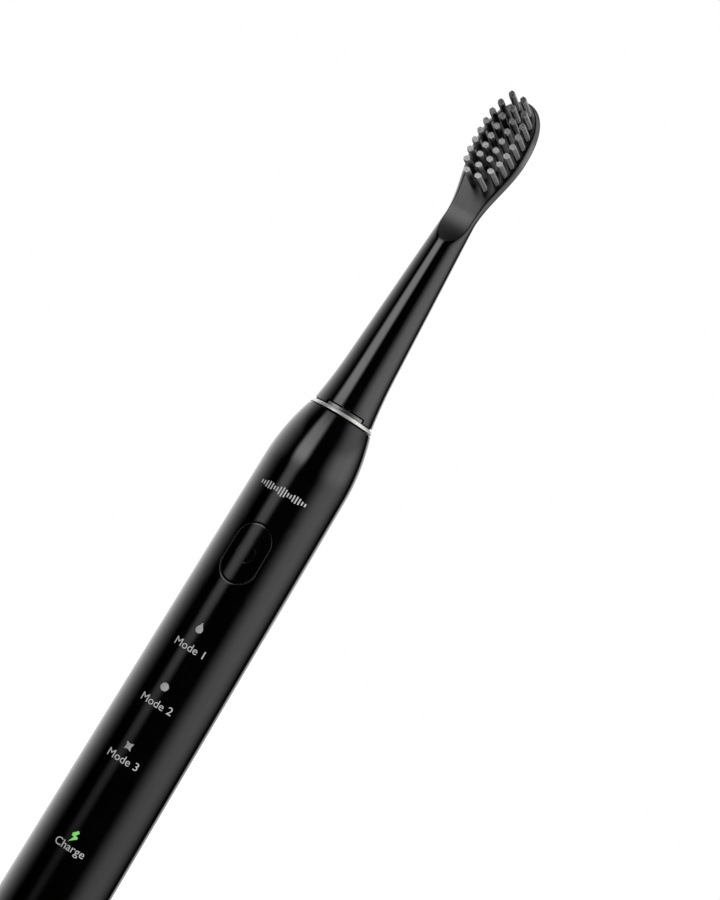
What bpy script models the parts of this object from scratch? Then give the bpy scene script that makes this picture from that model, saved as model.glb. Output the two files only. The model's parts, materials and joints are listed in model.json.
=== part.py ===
"""Electric toothbrush: a slim sonic handle with a push-on brush head.

The brush stands upright on its base cap. +Z runs up the handle's axis, the bristles and the
button face -Y, and the origin is the centre of the base. Sizes below are in millimetres.
"""

from math import cos, pi, radians, sin, sqrt

import bmesh
import bpy
from mathutils import Matrix, Vector

MM = 0.001

# Fits
GAP = 0.3                      # clearance between pieces that touch in the real brush
WALL = 1.6                     # handle shell thickness

# Handle
RING_HEIGHT = 155.5            # middle of the trim ring above the base
BASE_RADIUS = 12.5
NARROW_RADIUS = 11.2           # where the taper ends and the shoulder starts
SHOULDER_LENGTH = 17.5         # the last stretch of the handle, an arc in to the ring
SHOULDER_RADIUS = 53.0
HANDLE_STEPS = 40
CUT_SPARE = 2.0                # how far a cutter runs past the surface it cuts

# Base cap and charging parts
CAP_SKIRT = 6.0                # visible height of the base cap
CAP_SPIGOT = 12.0              # top of the spigot that plugs into the shell
CAP_EDGE = 1.5                 # rounded bottom edge
CAP_FLOOR = 2.0
CAP_WALL = 1.3
WELL_RADIUS = 3.6              # blind charging well that takes the charger's pin
WELL_DEPTH = 12.0
WELL_WALL = 1.2
SEAL_WIRE = 0.6                # radius of the base seal's cord
SEAL_HEIGHT = 9.0
BOBBIN_WALL = 0.6
WINDING = 1.4

# Trim ring and its lug
RING_THICK = 0.9
RING_WIDTH = 1.5
RING_CHAMFER = 0.15
LUG_RISE = 0.95
LUG_ANGLE = 36.4               # half the lug's arc, in degrees
LUG_TURN = 15.0                # turn of the lug from the front towards +X, in degrees
SWING = 3.6                    # free angle on each side of the lug, for the oscillation

# Brush head, measured up from the ring's middle
SKIRT_START = 0.8
NECK_RADIUS = 6.42             # at the end of the flare
FLARE_LENGTH = 14.0
SKIRT_INSET = 0.17             # the skirt's edge inside the ring's top edge
NECK_TAPER = 0.0605
NECK_END = 55.0
PLATE_WIDEST = 74.2
PLATE_HALF_WIDTH = 6.92
HEAD_LENGTH = 87.5
TIP_WIDTH_POWER = 2.5          # bluntness of the tip, seen from the front
TIP_DEPTH_POWER = 6.0          # and from the side
FLATTEN_START = 47.0           # the front grows flatter from here up
FLATTEN_END = 58.5
FACE_DEPTH = 1.3               # the bristle face in front of the axis
PLATE_BACK = 2.8               # the back of the plate behind the axis
PLATE_FRONT = 2.25             # depth of the plate's front ellipse before the face is cut
SCOOP_RADIUS = 15.84
SCOOP_TOP = 57.5
SOCKET_SPARE = 3.0             # room above the shaft's end
SKIRT_BORE = 5.6
SKIRT_DEPTH = 5.0
HEAD_STEPS = 32

# Tufts
TUFT_ROWS = (2, 3, 4, 4, 4, 4, 4, 3, 2)
TUFT_RADIUS = 0.8
TUFT_CLEARANCE = 0.15
TUFT_ROOT = 2.3                # depth of a tuft in the plate
ROW_PITCH = 2.6
MIDDLE_ROW = 74.42
PAIR_HALF_SPACING = 1.55       # a row of two stands this far from the middle
TUFT_MARGIN = 1.2              # an outer tuft's axis inside the face's edge
TRIPLE_MARGIN = 1.5            # the same in a row of three
TUFT_SHORT = 9.15              # bristle height in the middle row
TUFT_LONG = 12.25              # and in the end rows
TUFT_SIDES = 10

# Drive
SHAFT_RADIUS = 2.0
SHAFT_EXPOSED = 22.0           # above the ring's middle
SHAFT_FLAT = 1.4               # the D flat's distance from the axis
FLAT_LENGTH = 14.0
CLIP_WALL = 1.0
CLIP_LENGTH = 14.0
CLIP_START = 8.0
MOTOR_BELOW_RING = 29.5        # the motor's lower face
MOTOR_LENGTH = 20.0
MOTOR_RADIUS = 8.3
CAN_WALL = 0.6
MAGNET_WALL = 2.2
COIL_WALL = 0.8
BEARING_RADIUS = 4.6
BEARING_HEIGHT = 3.0
MOUNT_HEIGHT = 5.0
SHAFT_CHAMFER = 0.4
BOOT_HEIGHT = 3.6
BOOT_COLLAR = 1.0              # width of the boot's raised lip round the shaft
BOOT_RISE = 0.6                # and its height above the boot's edge

# Button
BUTTON_BELOW_RING = 39.5
BUTTON_WIDTH = 9.0
BUTTON_LENGTH = 15.2
BUTTON_TRAVEL = 0.5
BUTTON_THICK = 1.5
POST_RADIUS = 1.5
SWITCH_SIDE = 4.5
SWITCH_HEIGHT = 1.1

# Electronics, in front of the spine, and the battery behind it
BOARD_THICK = 1.0
BOARD_BOTTOM = 28.0
BOARD_BELOW_MOTOR = 3.0
SPINE_THICK = 1.5
SPINE_BELOW_MOTOR = 2.0
BATTERY_RADIUS = 7.0
BATTERY_LENGTH = 50.0
BATTERY_BOTTOM = 22.0
BATTERY_CHAMFER = 0.5
CONTACT_RADIUS = 4.5
CONTACT_THICK = 0.4
CONTACT_BORE = 1.75            # radius of the hole in a battery contact
SHELF_THICK = 1.6
GUIDE_RADIUS = 1.4
GUIDES_BELOW_RING = {"drop": 59.9, "dot": 75.7, "star": 91.6, "bolt": 115.8}

SHOULDER_START = RING_HEIGHT - SHOULDER_LENGTH


def handle_radius(z):
    """The handle's outer radius: a straight taper, then the shoulder's arc."""
    taper = (BASE_RADIUS - NARROW_RADIUS) / SHOULDER_START
    straight = BASE_RADIUS - taper * min(z, SHOULDER_START)
    rise = max(0.0, z - SHOULDER_START)
    return straight - (SHOULDER_RADIUS - sqrt(SHOULDER_RADIUS ** 2 - rise ** 2))


def bore_radius(z):
    return handle_radius(z) - WALL


# Places and sizes that follow from the values above
BUTTON_HEIGHT = RING_HEIGHT - BUTTON_BELOW_RING
RING_BOTTOM = RING_HEIGHT - RING_THICK / 2
RING_TOP = RING_HEIGHT + RING_THICK / 2
SHELL_TOP = RING_BOTTOM - GAP
BOOT_RADIUS = handle_radius(RING_BOTTOM) - RING_WIDTH - 3 * GAP
MOTOR_BOTTOM = RING_HEIGHT - MOTOR_BELOW_RING
BOARD_TOP = MOTOR_BOTTOM - BOARD_BELOW_MOTOR
SPINE_TOP = MOTOR_BOTTOM - SPINE_BELOW_MOTOR
SOCKET_RADIUS = SHAFT_RADIUS + GAP + CLIP_WALL + GAP
SOCKET_DEPTH = SHAFT_EXPOSED + SOCKET_SPARE
BATTERY_TOP = BATTERY_BOTTOM + BATTERY_LENGTH
BATTERY_MIDDLE = bore_radius(BATTERY_TOP) - GAP - BATTERY_RADIUS     # behind the axis
SPINE_FRONT = BATTERY_RADIUS - BATTERY_MIDDLE + GAP + SPINE_THICK    # forward of the axis
BOARD_BACK = SPINE_FRONT + GAP
BOARD_FRONT = BOARD_BACK + BOARD_THICK
BOARD_HALF_WIDTH = sqrt((bore_radius(BOARD_TOP) - GAP) ** 2 - BOARD_FRONT ** 2)
SKIRT_RADIUS = handle_radius(RING_TOP) - SKIRT_INSET


# ---------------------------------------------------------------- scene and materials

def clear_scene():
    for thing in list(bpy.data.objects):
        bpy.data.objects.remove(thing, do_unlink=True)


def collection(name):
    made = bpy.data.collections.new(name)
    bpy.context.scene.collection.children.link(made)
    return made


def material(name, colour, roughness, metallic=0.0):
    made = bpy.data.materials.new(name)
    made.use_nodes = True
    shader = made.node_tree.nodes["Principled BSDF"]
    shader.inputs["Base Color"].default_value = (*colour, 1.0)
    shader.inputs["Roughness"].default_value = roughness
    shader.inputs["Metallic"].default_value = metallic
    return made


clear_scene()
PARTS = collection("electric_toothbrush")
CUTTERS = collection("cutters")


def add(name, data, finish=None, group=None):
    thing = bpy.data.objects.new(name, data)
    (group or PARTS).objects.link(thing)
    if finish:
        data.materials.append(finish)
    return thing


def joint_empty(name, place, children):
    """An empty on a joint's axis that carries the pieces which move with it."""
    empty = add(name, None)
    empty.location = Vector(place) * MM
    bpy.context.view_layer.update()
    for child in children:
        child.parent = empty
        child.matrix_parent_inverse = empty.matrix_world.inverted()
    return empty


def hide_cutter(thing):
    thing.hide_render = True
    thing.display_type = "WIRE"
    return thing


def smooth(thing):
    thing.data.shade_smooth()
    thing.data.set_sharp_from_angle(angle=radians(35))
    return thing


# ---------------------------------------------------------------- shapes

def turned(name, profile, finish=None, steps=24, closed=True, group=None, centre=(0, 0)):
    """A profile of (radius, height) points, down its outer side, turned about +Z."""
    mesh = bpy.data.meshes.new(name)
    points = [(r * MM, 0, z * MM) for r, z in profile]
    edges = [(i, i + 1) for i in range(len(points) - 1)]
    if closed:
        edges.append((len(points) - 1, 0))
    mesh.from_pydata(points, edges, [])
    thing = add(name, mesh, finish, group)
    thing.location = (centre[0] * MM, centre[1] * MM, 0)
    screw = thing.modifiers.new("turn", "SCREW")
    screw.steps = screw.render_steps = steps
    screw.use_merge_vertices = True
    screw.merge_threshold = 0.00001
    return thing


def evaluated_mesh(thing, name):
    """A plain mesh object in place of one with modifiers or of a curve."""
    bpy.context.view_layer.update()
    graph = bpy.context.evaluated_depsgraph_get()
    mesh = bpy.data.meshes.new_from_object(thing.evaluated_get(graph))
    mesh.transform(thing.matrix_world)
    shape = bmesh.new()
    shape.from_mesh(mesh)
    bmesh.ops.remove_doubles(shape, verts=shape.verts, dist=0.000002)
    bmesh.ops.recalc_face_normals(shape, faces=shape.faces)
    shape.to_mesh(mesh)
    shape.free()
    home = thing.users_collection[0]
    bpy.data.objects.remove(thing, do_unlink=True)
    made = bpy.data.objects.new(name, mesh)
    home.objects.link(made)
    return made


def block(name, low, high, finish=None, group=None):
    """A box between two corners."""
    mesh = bpy.data.meshes.new(name)
    shape = bmesh.new()
    bmesh.ops.create_cube(shape, size=1.0)
    size = Vector(high) - Vector(low)
    bmesh.ops.scale(shape, vec=size * MM, verts=shape.verts)
    shape.to_mesh(mesh)
    shape.free()
    thing = add(name, mesh, finish, group)
    thing.location = (Vector(low) + Vector(high)) / 2 * MM
    return thing


def rod(name, radius, near, far, height, sides, finish=None, group=None, x=0.0):
    """A round rod along Y, from near to far, at a height."""
    mesh = bpy.data.meshes.new(name)
    shape = bmesh.new()
    bmesh.ops.create_cone(shape, cap_ends=True, segments=sides, radius1=radius * MM,
                          radius2=radius * MM, depth=(far - near) * MM,
                          matrix=Matrix.Rotation(pi / 2, 4, "X"))
    shape.to_mesh(mesh)
    shape.free()
    thing = add(name, mesh, finish, group)
    thing.location = (x * MM, (near + far) / 2 * MM, height * MM)
    return smooth(thing)


def outline(name, points, thick, group=None):
    """A flat outline in XY, thickened along Z, as a mesh."""
    curve = bpy.data.curves.new(name, "CURVE")
    curve.dimensions = "2D"
    curve.fill_mode = "BOTH"
    curve.extrude = thick / 2 * MM
    spline = curve.splines.new("POLY")
    spline.points.add(len(points) - 1)
    for point, (x, y) in zip(spline.points, points):
        point.co = (x * MM, y * MM, 0, 1)
    spline.use_cyclic_u = True
    thing = add(name, curve, None, group)
    return evaluated_mesh(thing, name)


def boolean(thing, tool, operation):
    """One exact Boolean, kept on the object. The tool stays as a hidden cutter."""
    step = thing.modifiers.new(operation.lower(), "BOOLEAN")
    step.operation = operation
    step.solver = "EXACT"
    step.object = hide_cutter(tool)
    return thing


def arc(centre, radius, start, end, count):
    """Points on an arc, with the angles in degrees."""
    turns = [radians(start + (end - start) * i / count) for i in range(count + 1)]
    return [(centre[0] + radius * cos(t), centre[1] + radius * sin(t)) for t in turns]


def smooth_step(low, high, value):
    share = min(1.0, max(0.0, (value - low) / (high - low)))
    return share * share * (3 - 2 * share)


# ---------------------------------------------------------------- handle

def heights(low, high, count):
    return [low + (high - low) * i / count for i in range(count + 1)]


def make_shell(finish):
    bottom = CAP_SKIRT + GAP
    outer = [(handle_radius(z), z) for z in heights(SHELL_TOP, SHOULDER_START, 9)]
    outer += [(handle_radius(z), z) for z in heights(SHOULDER_START, bottom, 5)[1:]]
    dome = SHELL_TOP - BOOT_HEIGHT
    inner = [(bore_radius(z), z) for z in heights(bottom, SHOULDER_START, 2)]
    inner += [(bore_radius(z), z) for z in heights(SHOULDER_START, dome - WALL, 3)[1:]]
    inner += [(BOOT_RADIUS + GAP, dome), (BOOT_RADIUS + GAP, SHELL_TOP)]
    shell = turned("handle_shell", outer + inner, finish, HANDLE_STEPS)
    hole = button_outline("button_hole", GAP)
    return boolean(shell, hole, "DIFFERENCE")


def make_trim_ring(finish):
    outer = handle_radius(RING_BOTTOM)
    top = handle_radius(RING_TOP)
    inner = outer - RING_WIDTH
    chamfer = RING_CHAMFER
    profile = [(top - chamfer, RING_TOP), (top, RING_TOP - chamfer), (outer, RING_BOTTOM),
               (inner, RING_BOTTOM), (inner, RING_TOP)]
    ring = turned("trim_ring", profile, finish, HANDLE_STEPS)
    lug = lug_sector("ring_lug", inner, SKIRT_RADIUS - chamfer, LUG_ANGLE)
    root = RING_THICK / 2
    lug.location.z = (RING_TOP - root + (LUG_RISE + root) / 2) * MM
    return boolean(ring, lug, "UNION")


def lug_sector(name, inner, outer, half_angle, thick=LUG_RISE + RING_THICK / 2):
    middle = LUG_TURN - 90
    low, high = middle - half_angle, middle + half_angle
    points = arc((0, 0), outer, low, high, 16) + arc((0, 0), inner, high, low, 16)
    return outline(name, points, thick, CUTTERS)


# ---------------------------------------------------------------- button

def button_outline(name, grow):
    """The button's stadium outline, grown by a clearance, running in from the front."""
    half = BUTTON_WIDTH / 2 + grow
    straight = (BUTTON_LENGTH - BUTTON_WIDTH) / 2
    points = arc((0, straight), half, 0, 180, 12) + arc((0, -straight), half, 180, 360, 12)
    depth = BASE_RADIUS
    tool = outline(name, points, depth, CUTTERS)
    tool.rotation_euler.x = pi / 2
    tool.location = (0, -(BOARD_FRONT + depth / 2) * MM, BUTTON_HEIGHT * MM)
    return tool


def make_button(finish):
    reach = BUTTON_LENGTH
    spans = heights(BUTTON_HEIGHT + reach, BUTTON_HEIGHT - reach, 2)
    profile = [(handle_radius(z), z) for z in spans]
    profile += [(handle_radius(z) - BUTTON_THICK, z) for z in reversed(spans)]
    button = turned("button_cap", profile, finish, HANDLE_STEPS * 2)
    boolean(button, button_outline("button_edge", 0.0), "INTERSECT")
    switch_top = BOARD_FRONT + GAP + SWITCH_HEIGHT
    post_end = switch_top + BUTTON_TRAVEL + GAP
    post_root = handle_radius(BUTTON_HEIGHT) - BUTTON_THICK / 2
    post = rod("button_post", POST_RADIUS, -post_root, -post_end, BUTTON_HEIGHT, 12,
               group=CUTTERS)
    return boolean(button, post, "UNION")


# ---------------------------------------------------------------- base and charging parts

def make_base_cap(finish):
    spigot = bore_radius(CAP_SPIGOT) - GAP
    groove = spigot - 2 * SEAL_WIRE - GAP
    band = SEAL_WIRE + GAP
    edge = arc((handle_radius(CAP_EDGE) - CAP_EDGE, CAP_EDGE), CAP_EDGE, 0, -90, 3)
    roof = WELL_DEPTH + WELL_WALL
    boss = WELL_RADIUS + WELL_WALL
    profile = [(0, roof), (boss, roof), (boss, CAP_FLOOR), (groove - CAP_WALL, CAP_FLOOR),
               (groove - CAP_WALL, CAP_SPIGOT), (spigot, CAP_SPIGOT),
               (spigot, SEAL_HEIGHT + band), (groove, SEAL_HEIGHT + band),
               (groove, SEAL_HEIGHT - band), (spigot, SEAL_HEIGHT - band),
               (spigot, CAP_SKIRT), (handle_radius(CAP_SKIRT), CAP_SKIRT)]
    profile += edge + [(WELL_RADIUS, 0), (WELL_RADIUS, WELL_DEPTH), (0, WELL_DEPTH)]
    return turned("base_cap", profile, finish, HANDLE_STEPS, closed=False)


def make_base_seal(finish):
    spigot = bore_radius(CAP_SPIGOT) - GAP
    middle = (spigot - SEAL_WIRE - GAP / 2, SEAL_HEIGHT)
    profile = arc(middle, SEAL_WIRE, 90, -270, 6)[:-1]
    return turned("base_seal", profile, finish, 28)


def bobbin_sizes():
    inner = WELL_RADIUS + WELL_WALL + GAP
    groove = bore_radius(CAP_SPIGOT) - GAP - 2 * SEAL_WIRE - GAP
    return inner, groove - CAP_WALL - GAP


def make_bobbin(finish):
    inner, outer = bobbin_sizes()
    low, high = CAP_FLOOR + GAP, WELL_DEPTH + WELL_WALL
    core = inner + BOBBIN_WALL
    profile = [(outer, high), (outer, high - BOBBIN_WALL), (core, high - BOBBIN_WALL),
               (core, low + BOBBIN_WALL), (outer, low + BOBBIN_WALL), (outer, low),
               (inner, low), (inner, high)]
    return turned("coil_bobbin", profile, finish, 24)


def make_charging_coil(finish):
    inner, outer = bobbin_sizes()
    core = inner + BOBBIN_WALL + GAP
    low = CAP_FLOOR + GAP + BOBBIN_WALL + GAP
    high = WELL_DEPTH + WELL_WALL - BOBBIN_WALL - GAP
    edge = min(core + WINDING, outer)
    return turned("charging_coil", [(edge, high), (edge, low), (core, low), (core, high)],
                  finish, 24)


# ---------------------------------------------------------------- drive

def tube(name, outer, inner, low, high, finish, steps=24):
    profile = [(outer, high), (outer, low), (inner, low), (inner, high)]
    return turned(name, profile, finish, steps)


def make_shaft(finish):
    top = RING_HEIGHT + SHAFT_EXPOSED
    bottom = MOTOR_BOTTOM - BEARING_HEIGHT
    profile = [(0, top), (SHAFT_RADIUS - SHAFT_CHAMFER, top),
               (SHAFT_RADIUS, top - SHAFT_CHAMFER), (SHAFT_RADIUS, bottom), (0, bottom)]
    shaft = turned("drive_shaft", profile, finish, 24, closed=False)
    flat = block("shaft_flat", (-2 * SHAFT_RADIUS, -2 * SHAFT_RADIUS, top - FLAT_LENGTH),
                 (2 * SHAFT_RADIUS, -SHAFT_FLAT, top + FLAT_LENGTH), group=CUTTERS)
    return boolean(shaft, flat, "DIFFERENCE")


def make_motor(finishes):
    low, high = MOTOR_BOTTOM, MOTOR_BOTTOM + MOTOR_LENGTH
    lip = BEARING_RADIUS + GAP
    can = MOTOR_RADIUS - CAN_WALL
    end = 2 * CAN_WALL
    profile = [(lip, high), (MOTOR_RADIUS, high), (MOTOR_RADIUS, low), (lip, low),
               (lip, low + end), (can, low + end), (can, high - end), (lip, high - end)]
    turned("motor_can", profile, finishes["steel"], 32)
    magnet = SHAFT_RADIUS + GAP + MAGNET_WALL
    room = (low + end + GAP, high - end - GAP)
    inset = BEARING_HEIGHT
    tube("rotor_magnet", magnet, SHAFT_RADIUS + GAP, room[0] + inset, room[1] - inset,
         finishes["magnet"])
    coil = magnet + GAP
    tube("stator_coil", coil + COIL_WALL, coil, room[0] + inset, room[1] - inset,
         finishes["copper"])
    tube("stator_core", can - GAP, coil + COIL_WALL + GAP, room[0], room[1],
         finishes["steel"], 32)
    tube("lower_bearing", BEARING_RADIUS, SHAFT_RADIUS + GAP, low, low + BEARING_HEIGHT,
         finishes["bronze"])
    tube("upper_bearing", BEARING_RADIUS, SHAFT_RADIUS + GAP, high - BEARING_HEIGHT, high,
         finishes["bronze"])
    mount_low = MOTOR_BOTTOM + MOUNT_HEIGHT / 2
    tube("motor_mount", bore_radius(mount_low + MOUNT_HEIGHT) - GAP, MOTOR_RADIUS + GAP,
         mount_low, mount_low + MOUNT_HEIGHT, finishes["rubber"], 32)


def make_shaft_seal(finish):
    """A rubber boot that fills the handle's mouth round the shaft."""
    low = SHELL_TOP - BOOT_HEIGHT
    inner = SHAFT_RADIUS + GAP
    lip = RING_TOP + BOOT_RISE
    profile = [(inner + BOOT_COLLAR, lip), (BOOT_RADIUS - BOOT_COLLAR, RING_TOP),
               (BOOT_RADIUS, RING_TOP - GAP), (BOOT_RADIUS, low), (inner, low), (inner, lip)]
    return turned("shaft_seal", profile, finish, 32)


# ---------------------------------------------------------------- electronics

def make_chassis(finish):
    half = BOARD_HALF_WIDTH
    front = SPINE_FRONT
    spine_bottom = BATTERY_BOTTOM - CONTACT_THICK - 2 * GAP - SHELF_THICK
    spine = block("chassis", (-half, -front, spine_bottom),
                  (half, -front + SPINE_THICK, SPINE_TOP), finish)
    shelf_heights = (spine_bottom, BATTERY_TOP + CONTACT_THICK + 2 * GAP)
    for number, low in enumerate(shelf_heights):
        reach = bore_radius(low + SHELF_THICK) - GAP
        shelf = turned("shelf_%d" % (number + 1),
                       [(0, low + SHELF_THICK), (reach, low + SHELF_THICK), (reach, low),
                        (0, low)], steps=32, closed=False, group=CUTTERS)
        wide = 2 * BASE_RADIUS
        front_cut = block("shelf_cut_%d" % (number + 1), (-wide, -wide, low - CUT_SPARE),
                          (wide, -front, low + SHELF_THICK + CUT_SPARE), group=CUTTERS)
        boolean(shelf, front_cut, "DIFFERENCE")
        boolean(spine, shelf, "UNION")
    return spine


def make_battery(finishes):
    low, high = BATTERY_BOTTOM, BATTERY_TOP
    centre = (0, BATTERY_MIDDLE)
    end = BATTERY_RADIUS - BATTERY_CHAMFER
    profile = [(0, high), (end, high), (BATTERY_RADIUS, high - BATTERY_CHAMFER),
               (BATTERY_RADIUS, low + BATTERY_CHAMFER), (end, low), (0, low)]
    turned("battery", profile, finishes["wrap"], 24, closed=False, centre=centre)
    for name, low in (("battery_contact_lower", BATTERY_BOTTOM - GAP - CONTACT_THICK),
                      ("battery_contact_upper", BATTERY_TOP + GAP)):
        disc = [(CONTACT_RADIUS, low + CONTACT_THICK), (CONTACT_RADIUS, low),
                (CONTACT_BORE, low), (CONTACT_BORE, low + CONTACT_THICK)]
        turned(name, disc, finishes["nickel"], 16, centre=centre)


def make_board(finishes):
    half = BOARD_HALF_WIDTH
    block("circuit_board", (-half, -BOARD_FRONT, BOARD_BOTTOM), (half, -BOARD_BACK, BOARD_TOP),
          finishes["board"])
    side = SWITCH_SIDE / 2
    near = BOARD_FRONT + GAP
    block("tact_switch", (-side, -near - SWITCH_HEIGHT, BUTTON_HEIGHT - side),
          (side, -near, BUTTON_HEIGHT + side), finishes["steel"])
    for icon, below in GUIDES_BELOW_RING.items():
        z = RING_HEIGHT - below
        reach = sqrt(bore_radius(z + GUIDE_RADIUS) ** 2 - GUIDE_RADIUS ** 2) - GAP
        rod("light_guide_" + icon, GUIDE_RADIUS, -reach, -near, z, 12, finishes["clear"])


# ---------------------------------------------------------------- brush head

def neck_radius(h):
    """Radius of the round neck, h above the ring's middle: a taper with a flared skirt."""
    straight = NECK_RADIUS - NECK_TAPER * (h - FLARE_LENGTH)
    widening = SKIRT_RADIUS - NECK_RADIUS - NECK_TAPER * (FLARE_LENGTH - SKIRT_START)
    flare = max(0.0, (FLARE_LENGTH - h) / (FLARE_LENGTH - SKIRT_START))
    return straight + widening * flare ** 2


def tip_share(h):
    return min(1.0, max(0.0, (h - PLATE_WIDEST) / (HEAD_LENGTH - PLATE_WIDEST)))


def half_width(h):
    if h <= NECK_END:
        return neck_radius(h)
    if h <= PLATE_WIDEST:
        start = neck_radius(NECK_END)
        return start + (PLATE_HALF_WIDTH - start) * smooth_step(NECK_END, PLATE_WIDEST, h)
    return PLATE_HALF_WIDTH * sqrt(1 - tip_share(h) ** TIP_WIDTH_POWER)


def back_depth(h):
    blend = smooth_step(SCOOP_TOP - SCOOP_RADIUS, PLATE_WIDEST - 6, h)
    full = neck_radius(min(h, NECK_END))
    return (full + (PLATE_BACK - full) * blend) * sqrt(1 - tip_share(h) ** TIP_DEPTH_POWER)


def front_depth(h):
    blend = smooth_step(FLATTEN_START, FLATTEN_END, h)
    full = neck_radius(min(h, NECK_END))
    return (full + (PLATE_FRONT - full) * blend) * sqrt(1 - tip_share(h) ** TIP_DEPTH_POWER)


def head_section(h):
    points = []
    for i in range(HEAD_STEPS):
        turn = 2 * pi * i / HEAD_STEPS
        depth = back_depth(h) if sin(turn) > 0 else front_depth(h)
        points.append((half_width(h) * cos(turn), depth * sin(turn), RING_HEIGHT + h))
    return points


def head_heights():
    neck = [SKIRT_START, 3.0, 5.5, 8.5, FLARE_LENGTH, 30.0, SCOOP_TOP - SCOOP_RADIUS]
    plate = heights(SCOOP_TOP - SCOOP_RADIUS, PLATE_WIDEST, 14)[1:]
    span = HEAD_LENGTH - PLATE_WIDEST
    tip = [PLATE_WIDEST + span * sin(radians(90 * i / 9)) for i in range(1, 9)]
    return neck + plate + tip


def loft_head(finish):
    """The outer solid before its face, notch, socket and tuft holes are cut."""
    mesh = bpy.data.meshes.new("head_shell")
    shape = bmesh.new()
    rings = []
    for h in head_heights():
        rings.append([shape.verts.new(Vector(p) * MM) for p in head_section(h)])
    for low, high in zip(rings, rings[1:]):
        for i in range(HEAD_STEPS):
            j = (i + 1) % HEAD_STEPS
            shape.faces.new((low[i], low[j], high[j], high[i]))
    shape.faces.new(list(reversed(rings[0])))
    tip = shape.verts.new(Vector((0, 0, RING_HEIGHT + HEAD_LENGTH)) * MM)
    for i in range(HEAD_STEPS):
        shape.faces.new((rings[-1][i], rings[-1][(i + 1) % HEAD_STEPS], tip))
    bmesh.ops.recalc_face_normals(shape, faces=shape.faces)
    shape.to_mesh(mesh)
    shape.free()
    return add("head_shell", mesh, finish)


def scoop_cutter():
    """The flat bristle face and the scoop that leads up to it, cut right across."""
    centre = (-(FACE_DEPTH + SCOOP_RADIUS), SCOOP_TOP)
    points = arc(centre, SCOOP_RADIUS, -90, 0, 14)
    above = HEAD_LENGTH + CUT_SPARE
    points += [(-FACE_DEPTH, above), (centre[0], above)]
    tool = outline("scoop", points, 4 * PLATE_HALF_WIDTH, CUTTERS)
    tool.matrix_world = Matrix.Translation((0, 0, RING_HEIGHT * MM)) @ Matrix(
        ((0, 0, 1, 0), (1, 0, 0, 0), (0, 1, 0, 0), (0, 0, 0, 1)))
    return tool


def socket_cutter():
    low = RING_HEIGHT + SKIRT_START - CUT_SPARE
    skirt = RING_HEIGHT + SKIRT_DEPTH
    top = RING_HEIGHT + SOCKET_DEPTH
    profile = [(0, top), (SOCKET_RADIUS, top), (SOCKET_RADIUS, skirt), (SKIRT_BORE, skirt),
               (SKIRT_BORE, low), (0, low)]
    return turned("socket", profile, steps=24, closed=False, group=CUTTERS)


def notch_cutter():
    """Room over the ring's lug, with the swing's angle free on each side."""
    top = RING_TOP + LUG_RISE + GAP
    low = RING_HEIGHT + SKIRT_START - CUT_SPARE
    tool = lug_sector("notch", SKIRT_BORE - CUT_SPARE, 2 * SKIRT_RADIUS, LUG_ANGLE + SWING, top - low)
    tool.location.z = (low + top) / 2 * MM
    return tool


def face_half_width(h):
    """Half the width of the flat face, where it cuts the plate's front ellipse."""
    return half_width(h) * sqrt(1 - (FACE_DEPTH / front_depth(h)) ** 2)


def tuft_places():
    """Every tuft's (x, height above the ring's middle), row by row from the neck."""
    middle = (len(TUFT_ROWS) - 1) / 2
    for row, count in enumerate(TUFT_ROWS):
        h = MIDDLE_ROW + (row - middle) * ROW_PITCH
        if count == 2:
            reach = PAIR_HALF_SPACING
        else:
            reach = face_half_width(h) - (TRIPLE_MARGIN if count == 3 else TUFT_MARGIN)
        for i in range(count):
            yield reach * (2 * i / (count - 1) - 1), h


def tuft_length(h):
    end = (len(TUFT_ROWS) - 1) / 2 * ROW_PITCH
    return TUFT_SHORT + (TUFT_LONG - TUFT_SHORT) * ((h - MIDDLE_ROW) / end) ** 2


def tuft_holes():
    """All the tuft holes as one cutter of separate rods."""
    mesh = bpy.data.meshes.new("tuft_holes")
    shape = bmesh.new()
    depth = TUFT_ROOT + GAP + CUT_SPARE
    for x, h in tuft_places():
        y = -FACE_DEPTH + TUFT_ROOT + GAP - depth / 2
        place = Matrix.Translation(Vector((x, y, RING_HEIGHT + h)) * MM)
        bmesh.ops.create_cone(shape, cap_ends=True, segments=TUFT_SIDES,
                              radius1=(TUFT_RADIUS + TUFT_CLEARANCE) * MM,
                              radius2=(TUFT_RADIUS + TUFT_CLEARANCE) * MM, depth=depth * MM,
                              matrix=place @ Matrix.Rotation(pi / 2, 4, "X"))
    shape.to_mesh(mesh)
    shape.free()
    return add("tuft_holes", mesh, None, CUTTERS)


def make_head(finishes):
    head = loft_head(finishes["black"])
    for tool in (scoop_cutter(), socket_cutter(), notch_cutter(), tuft_holes()):
        boolean(head, tool, "DIFFERENCE")
    low = RING_HEIGHT + CLIP_START
    inner = SHAFT_RADIUS + GAP
    tube("head_clip", inner + CLIP_WALL, inner, low, low + CLIP_LENGTH, finishes["steel"])
    for number, (x, h) in enumerate(tuft_places()):
        rod("tuft_%02d" % (number + 1), TUFT_RADIUS, -FACE_DEPTH - tuft_length(h),
            -FACE_DEPTH + TUFT_ROOT, RING_HEIGHT + h, TUFT_SIDES, finishes["bristle"], x=x)


# ---------------------------------------------------------------- whole brush

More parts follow.
